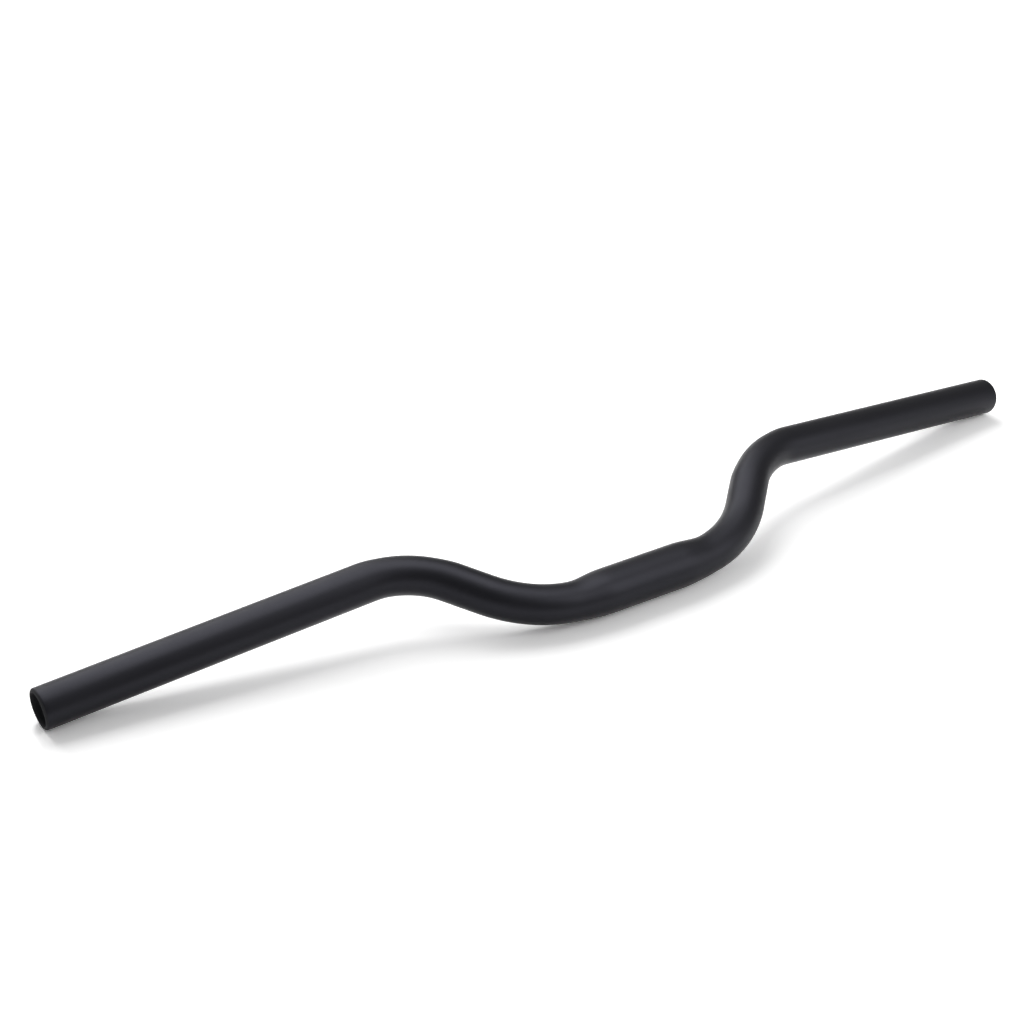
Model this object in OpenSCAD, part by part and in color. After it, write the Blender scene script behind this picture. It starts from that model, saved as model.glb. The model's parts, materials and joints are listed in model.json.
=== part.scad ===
// Riser handlebar for a bicycle: one aluminium tube, swaged from a thick middle down to grip size
// and bent twice on each side, so that the grips sit above the stem and sweep back to the rider.
// Sizes are in millimetres. The origin is halfway along the clamp, on its axis, and X runs along it.
// The bar lies as it comes to rest on a table: on its middle and on the rims of its two open ends.

/* [Tube] */
// Outer diameter of the bends and grips
tube_d = 22.2; // [21.6:0.1:23]
// Outer diameter of the thick middle that the stem clamps
clamp_d = 25.4; // [24.6:0.1:26.4]
// Wall thickness of the tube
wall = 2; // [1.6:0.1:3]

/* [Layout] */
// Width of the bar, between the middles of its two open ends
bar_w = 660; // [580:5:740]
// Length of the middle that keeps its full diameter
clamp_len = 50; // [36:1:60]
// Distance from the middle to the corner where the bar turns up
lower_corner = 69; // [66:0.5:76]
// Length of the rising leg, from its lower corner to its upper one
rise_leg = 75.5; // [64:0.5:110]

/* [Bends] */
// Angle of all four bends
bend_angle = 45; // [36:1:50]
// Radius of the lower bends, to the middle of the tube
lower_bend_r = 76; // [60:1:80]
// Radius of the upper bends, to the middle of the tube
upper_bend_r = 65; // [50:1:80]
// Turn of the upper bends about the rising legs, which sweeps the grips back
sweep_turn = 9.2; // [3:0.1:20]
// How much the bending dies pinch the tube's radius
bend_pinch = 0.05; // [0.02:0.01:0.2]

/* [Ends] */
// Radius of the rounded outer edge at each open end
lip_r = 1; // [0.3:0.1:1.3]
// Width of the chamfer inside each open end
mouth_chamfer = 0.4; // [0.1:0.1:0.6]

/* [Hidden] */
$fn = 96;

tube_r = tube_d / 2;
clamp_r = clamp_d / 2;
bore_r = tube_r - wall;

// Each bend starts this far before its corner, and ends as far after it
lower_set = lower_bend_r * tan(bend_angle / 2);
upper_set = upper_bend_r * tan(bend_angle / 2);
middle_half = lower_corner - lower_set;
leg_run = rise_leg - lower_set - upper_set;

// Way that the right grip points while the rising legs stand upright
grip_dir = [
    pow(cos(bend_angle), 2) + pow(sin(bend_angle), 2) * cos(sweep_turn),
    sin(bend_angle) * sin(sweep_turn),
    sin(bend_angle) * cos(bend_angle) * (1 - cos(sweep_turn))
];
upper_corner = [lower_corner + rise_leg * cos(bend_angle), 0, rise_leg * sin(bend_angle)];
grip_leg = (bar_w / 2 - upper_corner.x) / grip_dir.x;
grip_run = grip_leg - upper_set;

// Middle of the ring from which the lip is rounded, near the right end
lip_mid = upper_corner + (grip_leg - lip_r) * grip_dir;
lip_reach = norm([lip_mid.y, lip_mid.z]);

// How much lower a lip reaches than the middle of its ring, once the rise slopes up at this angle
function lip_drop(slope) =
    let (lean = grip_dir.z * sin(slope) - grip_dir.y * cos(slope))
    (tube_r - lip_r) * sqrt(1 - lean * lean) + lip_r;

// Slope at which both lips come down to the level of the clamp's underside, found in a few steps
function settled(slope, steps) =
    steps == 0 ? slope :
    settled(asin((lip_drop(slope) - clamp_r) / lip_reach) + atan2(lip_mid.y, lip_mid.z), steps - 1);
first_slope = 20;
settling_steps = 8;
rest_slope = settled(first_slope, settling_steps);

shoulder_steps = 10;
lip_steps = 6;
past_end = 1;

// Soft step from 0 to 1, made of two equal arcs
function soft_step(t) = t < 0.5 ? 2 * t * t : 1 - 2 * (1 - t) * (1 - t);

// Profile of one half of the middle, as radius and distance from the middle
function middle_profile(inset) = [
    for (i = [0 : shoulder_steps])
        let (t = i / shoulder_steps)
        [
            clamp_r - inset - (clamp_r - tube_r) * soft_step(t),
            clamp_len / 2 + t * (middle_half - clamp_len / 2)
        ]
];

// Turns a profile of radius and distance about the X axis
module turned(profile) {
    rotate([0, 90, 0])
        rotate_extrude()
            polygon(profile);
}

// The straight middle, with the shoulders that lead down to grip size where the bends start
module middle(inset) {
    half = middle_profile(inset);
    turned(concat(
        [[0, middle_half], [0, -middle_half]],
        [for (i = [shoulder_steps : -1 : 0]) [half[i].x, -half[i].y]],
        half
    ));
}

// A straight stretch along X. Children go on from its far end.
module run(length, r) {
    rotate([0, 90, 0])
        cylinder(r = r, h = length);
    translate([length, 0, 0])
        children();
}

// A bend from X up towards Z. Children go on from its far end. It is slimmer than the straight
// stretches by the pinch, and laps into both of them only as far as that still hides it.
module bend(bend_r, r) {
    lap = sqrt(bend_r * bend_pinch) / bend_r / 2 * 180 / PI;
    translate([0, 0, bend_r])
        rotate([90, 0, 0])
            rotate_extrude(angle = bend_angle + 2 * lap, start = -90 - lap)
                translate([bend_r, 0])
                    circle(r = r - bend_pinch);
    translate([0, 0, bend_r])
        rotate([0, -bend_angle, 0])
            translate([0, 0, -bend_r])
                children();
}

// The bent part of one side. Children go on along the grip.
module side(inset) {
    r = tube_r - inset;
    translate([middle_half, 0, 0])
        bend(lower_bend_r, r)
            run(leg_run, r)
                rotate([180 + sweep_turn, 0, 0])
                    bend(upper_bend_r, r)
                        children();
}

// The outside of a grip, with the lip of its open end rounded
module grip_outside() {
    turned(concat(
        [[0, 0], [tube_r, 0]],
        [
            for (i = [0 : lip_steps])
                let (a = 90 * i / lip_steps)
                [tube_r - lip_r + lip_r * cos(a), grip_run - lip_r + lip_r * sin(a)]
        ],
        [[0, grip_run]]
    ));
}

// The hollow of a grip, which flares at the mouth
module grip_hollow() {
    turned([
        [0, 0],
        [bore_r, 0],
        [bore_r, grip_run - mouth_chamfer],
        [bore_r + mouth_chamfer + past_end, grip_run + past_end],
        [0, grip_run + past_end]
    ]);
}

// The left side is the mirror image of the right one
module both_sides() {
    children();
    mirror([1, 0, 0])
        children();
}

module outside() {
    middle(0);
    both_sides()
        side(0)
            grip_outside();
}

module hollow() {
    middle(wall);
    both_sides()
        side(wall)
            grip_hollow();
}

// The whole bar, tipped over until it lies on its middle and its two lips
module handlebar() {
    color([0.16, 0.16, 0.18])
        rotate([rest_slope - 90, 0, 0])
            difference() {
                outside();
                hollow();
            }
}

handlebar();
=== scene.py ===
import json
import math

import bmesh
import bpy
from mathutils import Euler, Matrix, Vector


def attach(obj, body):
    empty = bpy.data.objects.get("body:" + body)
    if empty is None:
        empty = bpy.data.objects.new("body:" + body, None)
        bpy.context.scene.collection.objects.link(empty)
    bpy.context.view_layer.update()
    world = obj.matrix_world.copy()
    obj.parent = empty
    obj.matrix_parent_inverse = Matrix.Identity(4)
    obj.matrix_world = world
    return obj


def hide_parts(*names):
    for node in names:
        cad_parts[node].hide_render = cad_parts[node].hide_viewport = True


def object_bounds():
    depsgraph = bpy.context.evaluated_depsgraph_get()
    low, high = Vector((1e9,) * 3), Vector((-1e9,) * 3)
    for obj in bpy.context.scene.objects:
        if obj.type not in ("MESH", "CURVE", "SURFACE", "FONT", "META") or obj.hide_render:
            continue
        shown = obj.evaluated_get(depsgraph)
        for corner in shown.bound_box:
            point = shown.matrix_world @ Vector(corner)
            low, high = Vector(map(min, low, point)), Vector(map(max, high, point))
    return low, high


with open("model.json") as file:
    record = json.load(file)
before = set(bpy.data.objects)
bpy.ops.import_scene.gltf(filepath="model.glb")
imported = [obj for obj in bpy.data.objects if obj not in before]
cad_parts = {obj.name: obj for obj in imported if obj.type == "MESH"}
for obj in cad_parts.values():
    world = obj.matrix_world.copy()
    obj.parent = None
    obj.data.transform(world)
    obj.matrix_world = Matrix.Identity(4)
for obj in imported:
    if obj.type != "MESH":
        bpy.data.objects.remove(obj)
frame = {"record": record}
cad_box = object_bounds()

# Camera: a long lens in front of the bar and to its left, looking down on it at about 31 degrees.
# It leans a few degrees to the side, so that the bar climbs across the picture.
camera_place = (-0.6802, -0.7614, 0.6504)
camera_turn = (58.856, -3.400, -35.602)
camera_lens = 77.535

camera_data = bpy.data.cameras.new("camera")
camera_data.lens = camera_lens
camera_data.sensor_width = 36
camera = bpy.data.objects.new("camera", camera_data)
camera.location = camera_place
camera.rotation_euler = Euler([math.radians(angle) for angle in camera_turn])
bpy.context.scene.collection.objects.link(camera)
bpy.context.scene.camera = camera

# Handlebar: one aluminium tube. It is swaged, so that its middle stays thick for the stem and the
# rest is drawn down to grip size, and then bent cold over round dies, which flatten each bend a
# little. The cut ends are turned round outside and have their sharp inner edge broken.
MM = 0.001
mounts = {mount["name"]: mount for mount in frame["record"]["mounts"]}
clamp, grip, mouth = mounts["stem_clamp"], mounts["grip_right"], mounts["end_right"]
clamp_radius = clamp["dims"]["r_mm"] * MM
tube_radius = grip["dims"]["r_mm"] * MM
wall = tube_radius - mouth["dims"]["r_mm"] * MM
full_until = clamp["dims"]["length_mm"] / 2 * MM
drawn_from = 48 * MM
low_corner = Vector((69 * MM, 0, 0))
rise_leg = 75.5 * MM
lower_bend = 76 * MM
upper_bend = 65 * MM
past_grip = 1 * MM
lip = 1.6 * MM
lip_steps = 8
mouth_break = 0.3 * MM
ring_gap = 2 * MM
points_around = 96

# Share of its radius by which each bend is pressed in, and the length over which that sets in
lower_flat = 0.01
upper_flat = 0.05
flat_onset = 14 * MM

# The tip lies on the grip's line, a little past the end of its full diameter, and the upper corner
# where that line is a rising leg's length away from the lower corner
grip_way = Vector(grip["axis"]).normalized()
tip = Vector(grip["pos_m"]) + grip_way * (grip["dims"]["length_mm"] / 2 * MM + past_grip)
foot = (tip - low_corner).dot(grip_way)
aside = (tip - low_corner).length_squared - foot**2
high_corner = tip - grip_way * (foot - math.sqrt(rise_leg**2 - aside))


def ease(share):
    """Soft step from 0 to 1."""
    share = min(max(share, 0), 1)
    return share * share * (3 - 2 * share)


def go_straight(line, end):
    """Adds rings to the line, straight on to its new end."""
    start = line[-1]["centre"]
    way = (end - start).normalized()
    steps = math.ceil((end - start).length / ring_gap)
    for i in range(1, steps + 1):
        centre = start.lerp(end, i / steps)
        line.append({"centre": centre, "way": way, "inward": Vector(), "flat": 0})


def go_round(line, corner, beyond, radius, flat):
    """Adds rings to the line, up to the bend at this corner and round it."""
    before = (corner - line[-1]["centre"]).normalized()
    after = (beyond - corner).normalized()
    angle = before.angle(after)
    go_straight(line, corner - before * radius * math.tan(angle / 2))
    hub = corner + (after - before).normalized() * radius / math.cos(angle / 2)
    spoke = line[-1]["centre"] - hub
    steps = math.ceil(radius * angle / ring_gap)
    for i in range(1, steps + 1):
        turn = Matrix.Rotation(angle * i / steps, 3, before.cross(after))
        from_end = min(i, steps - i) * radius * angle / steps
        line.append({
            "centre": hub + turn @ spoke,
            "way": turn @ before,
            "inward": -(turn @ spoke).normalized(),
            "flat": flat * ease(from_end / flat_onset),
        })


# The right half of the outside, from the middle to the start of the lip
half = [{"centre": Vector(), "way": Vector((1, 0, 0)), "inward": Vector(), "flat": 0}]
go_round(half, low_corner, high_corner, lower_bend, lower_flat)
go_round(half, high_corner, tip, upper_bend, upper_flat)
go_straight(half, tip - grip_way * lip)

# Each ring also gets its distance along the tube and two directions across it, which don't twist
along, lift, last = 0, Vector((0, 0, 1)), Vector()
for ring in half:
    along += (ring["centre"] - last).length
    last = ring["centre"]
    lift = (lift - ring["way"] * lift.dot(ring["way"])).normalized()
    ring.update(along=along, lift=lift, side=lift.cross(ring["way"]), below=0)

# Round the lip, over the end and over the broken inner edge, and back through the hollow
lip_path = [
    (lip - lip * math.cos(angle), lip - lip * math.sin(angle))
    for angle in [math.pi / 2 * i / lip_steps for i in range(1, lip_steps + 1)]
]
lip_path += [(wall - mouth_break, 0), (wall, mouth_break)]
mouth_rings = [
    {**half[-1], "centre": tip - grip_way * back, "below": below} for below, back in lip_path
]
hollow = [{**ring, "below": wall} for ring in reversed(half)]
right = half + mouth_rings + hollow


def mirrored(ring):
    """The same ring in the left half of the bar."""
    flip = Vector((-1, 1, 1))
    return {name: value * flip if isinstance(value, Vector) else value for name, value in ring.items()}


rings = right + [mirrored(ring) for ring in reversed(right[1:-1])]
spine = bpy.data.meshes.new("handlebar_spine")
count = len(rings)
spine.from_pydata([ring["centre"] for ring in rings], [(i, (i + 1) % count) for i in range(count)], [])
for name in ("centre", "side", "lift", "inward"):
    attribute = spine.attributes.new(name, "FLOAT_VECTOR", "POINT")
    attribute.data.foreach_set("vector", [number for ring in rings for number in ring[name]])
for name in ("along", "below", "flat"):
    attribute = spine.attributes.new(name, "FLOAT", "POINT")
    attribute.data.foreach_set("value", [ring[name] for ring in rings])


def add_node(tree, kind, inputs, **settings):
    """Adds a node with its settings. Each input is a value, or the socket that feeds it."""
    made = tree.nodes.new(kind)
    for name, value in settings.items():
        setattr(made, name, value)
    for socket, value in inputs.items():
        if isinstance(value, bpy.types.NodeSocket):
            tree.links.new(value, made.inputs[socket])
        else:
            made.inputs[socket].default_value = value
    return made


def linear(hex_colour):
    """An sRGB hex colour as the linear colour that a shader takes."""
    parts = [int(hex_colour[i : i + 2], 16) / 255 for i in (1, 3, 5)]
    return [c / 12.92 if c <= 0.04045 else ((c + 0.055) / 1.055) ** 2.4 for c in parts] + [1]


# Black anodised aluminium over a fine bead blast: a dark metal whose lights are broad and soft, and
# a little duller in some patches than in others. The blast's own grain is about 0.1 mm. It is drawn
# at 0.6 mm, so that it just shows.
anodised = bpy.data.materials.new("black_anodised_aluminium")
anodised.use_nodes = True
shade = anodised.node_tree
shade.nodes.clear()
black = linear("#29292d")
grain_size = 0.6 * MM
grain_depth = 0.05 * MM
patch_size = 30 * MM
place = add_node(shade, "ShaderNodeTexCoord", {})
grain = add_node(shade, "ShaderNodeTexNoise", {
    "Vector": place.outputs["Object"], "Scale": 1 / grain_size, "Detail": 2, "Roughness": 0.6})
patches = add_node(shade, "ShaderNodeTexNoise", {
    "Vector": place.outputs["Object"], "Scale": 1 / patch_size, "Detail": 3, "Roughness": 0.5})
roughness = add_node(shade, "ShaderNodeMapRange", {
    "Value": patches.outputs["Fac"], "From Min": 0.3, "From Max": 0.7, "To Min": 0.42, "To Max": 0.47})
relief = add_node(shade, "ShaderNodeBump", {
    "Height": grain.outputs["Fac"], "Strength": 0.42, "Distance": grain_depth})
metal = add_node(shade, "ShaderNodeBsdfPrincipled", {
    "Base Color": black, "Metallic": 1, "Roughness": roughness.outputs["Result"],
    "Normal": relief.outputs["Normal"]})
add_node(shade, "ShaderNodeOutputMaterial", {"Surface": metal.outputs["BSDF"]})

# The same black anodising over the drawn bore and the turned ends, which are too rough to shine: a
# matt dark grey, with the same grain drawn a little stronger. It starts this far down the lip.
matt_onset = lip / 20
matt = bpy.data.materials.new("matt_anodised_bore")
matt.use_nodes = True
shade = matt.node_tree
shade.nodes.clear()
place = add_node(shade, "ShaderNodeTexCoord", {})
grain = add_node(shade, "ShaderNodeTexNoise", {
    "Vector": place.outputs["Object"], "Scale": 1 / grain_size, "Detail": 2, "Roughness": 0.6})
relief = add_node(shade, "ShaderNodeBump", {
    "Height": grain.outputs["Fac"], "Strength": 0.5, "Distance": grain_depth})
oxide = add_node(shade, "ShaderNodeBsdfPrincipled", {
    "Base Color": linear("#29292c"), "Roughness": 0.8, "Specular IOR Level": 0.2,
    "Normal": relief.outputs["Normal"]})
add_node(shade, "ShaderNodeOutputMaterial", {"Surface": oxide.outputs["BSDF"]})

# The rings are swept into the tube's skin. Every point is pushed out from its ring's middle by the
# radius there, and a bend is pressed flatter towards the inside of its turn.
sweep = bpy.data.node_groups.new("swaged_tube", "GeometryNodeTree")
sweep.interface.new_socket("Rings", in_out="INPUT", socket_type="NodeSocketGeometry")
sizes = {
    "Clamp radius": clamp_radius,
    "Tube radius": tube_radius,
    "Full until": full_until,
    "Drawn from": drawn_from,
    "Matt below": matt_onset,
    "Points around": points_around,
}
sockets = {}
for name, value in sizes.items():
    kind = "NodeSocketInt" if name == "Points around" else "NodeSocketFloat"
    sockets[name] = sweep.interface.new_socket(name, in_out="INPUT", socket_type=kind)
for name in ("Finish", "Bore finish"):
    sockets[name] = sweep.interface.new_socket(name, in_out="INPUT", socket_type="NodeSocketMaterial")
sweep.interface.new_socket("Tube", in_out="OUTPUT", socket_type="NodeSocketGeometry")
given = add_node(sweep, "NodeGroupInput", {}).outputs
ring_data = {
    "centre": "FLOAT_VECTOR", "side": "FLOAT_VECTOR", "lift": "FLOAT_VECTOR", "inward": "FLOAT_VECTOR",
    "along": "FLOAT", "below": "FLOAT", "flat": "FLOAT", "turn": "FLOAT"}
read = {}
for name, kind in ring_data.items():
    reader = add_node(sweep, "GeometryNodeInputNamedAttribute", {"Name": name}, data_type=kind)
    read[name] = reader.outputs["Attribute"]

# A circle whose points know their angle is carried along the rings
circle = add_node(sweep, "GeometryNodeCurvePrimitiveCircle", {
    "Resolution": given["Points around"], "Radius": tube_radius})
point = add_node(sweep, "GeometryNodeInputIndex", {})
share = add_node(sweep, "ShaderNodeMath", {
    0: point.outputs["Index"], 1: given["Points around"]}, operation="DIVIDE")
angle = add_node(sweep, "ShaderNodeMath", {0: share.outputs[0], 1: math.tau}, operation="MULTIPLY")
profile = add_node(sweep, "GeometryNodeStoreNamedAttribute", {
    "Geometry": circle.outputs["Curve"], "Name": "turn", "Value": angle.outputs[0]},
    data_type="FLOAT", domain="POINT")
path = add_node(sweep, "GeometryNodeMeshToCurve", {"Mesh": given["Rings"]})
skin = add_node(sweep, "GeometryNodeCurveToMesh", {
    "Curve": path.outputs["Curve"], "Profile Curve": profile.outputs["Geometry"]})

# Its radius narrows from the clamp to the grips, less its depth below the outside
thickness = add_node(sweep, "ShaderNodeMapRange", {
    "Value": read["along"], "From Min": given["Full until"], "From Max": given["Drawn from"],
    "To Min": given["Clamp radius"], "To Max": given["Tube radius"]}, interpolation_type="SMOOTHSTEP")
radius = add_node(sweep, "ShaderNodeMath", {
    0: thickness.outputs["Result"], 1: read["below"]}, operation="SUBTRACT")

# The way out from the ring's middle, pressed in along the way to the inside of the bend
cosine = add_node(sweep, "ShaderNodeMath", {0: read["turn"]}, operation="COSINE")
sine = add_node(sweep, "ShaderNodeMath", {0: read["turn"]}, operation="SINE")
sideways = add_node(sweep, "ShaderNodeVectorMath", {
    0: read["side"], "Scale": cosine.outputs[0]}, operation="SCALE")
upwards = add_node(sweep, "ShaderNodeVectorMath", {
    0: read["lift"], "Scale": sine.outputs[0]}, operation="SCALE")
outwards = add_node(sweep, "ShaderNodeVectorMath", {
    0: sideways.outputs[0], 1: upwards.outputs[0]}, operation="ADD")
reach = add_node(sweep, "ShaderNodeVectorMath", {
    0: outwards.outputs[0], "Scale": radius.outputs[0]}, operation="SCALE")
inside_part = add_node(sweep, "ShaderNodeVectorMath", {
    0: reach.outputs[0], 1: read["inward"]}, operation="DOT_PRODUCT")
pressed = add_node(sweep, "ShaderNodeMath", {
    0: inside_part.outputs["Value"], 1: read["flat"]}, operation="MULTIPLY")
lost = add_node(sweep, "ShaderNodeVectorMath", {
    0: read["inward"], "Scale": pressed.outputs[0]}, operation="SCALE")
left_over = add_node(sweep, "ShaderNodeVectorMath", {
    0: reach.outputs[0], 1: lost.outputs[0]}, operation="SUBTRACT")
target = add_node(sweep, "ShaderNodeVectorMath", {
    0: read["centre"], 1: left_over.outputs[0]}, operation="ADD")
moved = add_node(sweep, "GeometryNodeSetPosition", {
    "Geometry": skin.outputs["Mesh"], "Position": target.outputs[0]})

# The bore and the ends, from the start of the rounded lip on, have their own finish
inner = add_node(sweep, "FunctionNodeCompare", {
    "A": read["below"], "B": given["Matt below"]}, data_type="FLOAT", operation="GREATER_THAN")
smooth = add_node(sweep, "GeometryNodeSetShadeSmooth", {"Geometry": moved.outputs["Geometry"]})
real = add_node(sweep, "GeometryNodeRealizeInstances", {"Geometry": smooth.outputs["Geometry"]})
outside = add_node(sweep, "GeometryNodeSetMaterial", {
    "Geometry": real.outputs["Geometry"], "Material": given["Finish"]})
finished = add_node(sweep, "GeometryNodeSetMaterial", {
    "Geometry": outside.outputs["Geometry"], "Selection": inner.outputs["Result"],
    "Material": given["Bore finish"]})
add_node(sweep, "NodeGroupOutput", {"Tube": finished.outputs["Geometry"]})

handlebar = bpy.data.objects.new("handlebar_tube", spine)
bpy.context.scene.collection.objects.link(handlebar)
sweeping = handlebar.modifiers.new("sweep", "NODES")
sweeping.node_group = sweep
for name, value in {**sizes, "Finish": anodised, "Bore finish": matt}.items():
    sweeping[sockets[name].identifier] = value
evaluated = handlebar.evaluated_get(bpy.context.evaluated_depsgraph_get())
tube = bpy.data.meshes.new_from_object(evaluated)
handlebar.modifiers.clear()
handlebar.data = tube
for name in ring_data:
    tube.attributes.remove(tube.attributes[name])
shell = bmesh.new()
shell.from_mesh(tube)
bmesh.ops.recalc_face_normals(shell, faces=shell.faces)
shell.to_mesh(tube)
shell.free()
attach(handlebar, "root")
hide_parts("handlebar")

# Floor: a sheet of matt white studio paper, level with the underside of the clamp and the two ends.
# It reads as pure white wherever no shadow falls, to the eye and in the metal.
floor_reach = 3
paper_white = linear("#d8d8d8")
shown_white = [1.3, 1.3, 1.3, 1]
floor_mesh = bpy.data.meshes.new("floor")
floor_height = cad_box[0].z
floor_mesh.from_pydata(
    [(x, y, floor_height) for x, y in [(-1, -1), (1, -1), (1, 1), (-1, 1)]],
    [], [(0, 1, 2, 3)])
floor_mesh.transform(Matrix.Diagonal((floor_reach, floor_reach, 1, 1)))
floor = bpy.data.objects.new("floor", floor_mesh)
bpy.context.scene.collection.objects.link(floor)
paper = bpy.data.materials.new("white_studio_paper")
paper.use_nodes = True
shade = paper.node_tree
shade.nodes.clear()
ray = add_node(shade, "ShaderNodeLightPath", {})
looked_at = add_node(shade, "ShaderNodeMath", {
    0: ray.outputs["Is Camera Ray"], 1: ray.outputs["Is Glossy Ray"]}, operation="MAXIMUM")
# Inputs 6 and 7, and output 2, are the ones that carry colours
tint = add_node(shade, "ShaderNodeMix", {
    0: looked_at.outputs[0], 6: paper_white, 7: shown_white}, data_type="RGBA")
sheet = add_node(shade, "ShaderNodeBsdfDiffuse", {"Color": tint.outputs[2]})
add_node(shade, "ShaderNodeOutputMaterial", {"Surface": sheet.outputs["BSDF"]})
floor_mesh.materials.append(paper)

# Light: a wide soft box behind the bar and one to its right, a white card over it, which only the
# metal shows, and a small lamp behind it, which only deepens the shadow. The side towards the camera
# stays dark.
lamp_distance = 1.6

# Bearing from +Y towards +X and height over the floor, in degrees, then width, height and
# brightness, which a larger lamp needs more power to reach
lamps = {
    "back_box": (-2, 45, 1.4, 1.45, 3.6),
    "right_box": (138, 32, 0.75, 1.35, 3.7),
    "top_card": (73, 78, 1.2, 1.25, 3.8),
    "shadow_lamp": (3, 38, 0.3, 0.3, 25),
}
for name, (bearing, height, lamp_width, lamp_height, brightness) in lamps.items():
    lamp_data = bpy.data.lights.new(name, "AREA")
    lamp_data.shape = "RECTANGLE"
    lamp_data.size = lamp_width
    lamp_data.size_y = lamp_height
    lamp_data.energy = brightness * math.pi * lamp_width * lamp_height
    lamp = bpy.data.objects.new(name, lamp_data)
    lamp.rotation_euler = (math.radians(90 - height), 0, math.radians(180 - bearing))
    lamp.location = lamp.rotation_euler.to_matrix() @ Vector((0, 0, lamp_distance))
    lamp.visible_diffuse = name != "top_card"
    lamp.visible_glossy = name != "shadow_lamp"
    bpy.context.scene.collection.objects.link(lamp)

# The pale room around fills the shadows a little
room_level = 0.35
world = bpy.data.worlds.new("pale_room")
bpy.context.scene.world = world
world.use_nodes = True
shade = world.node_tree
shade.nodes.clear()
room = add_node(shade, "ShaderNodeBackground", {"Color": [1, 1, 1, 1], "Strength": room_level})
add_node(shade, "ShaderNodeOutputWorld", {"Surface": room.outputs[0]})

bpy.context.scene.view_settings.view_transform = "Standard"
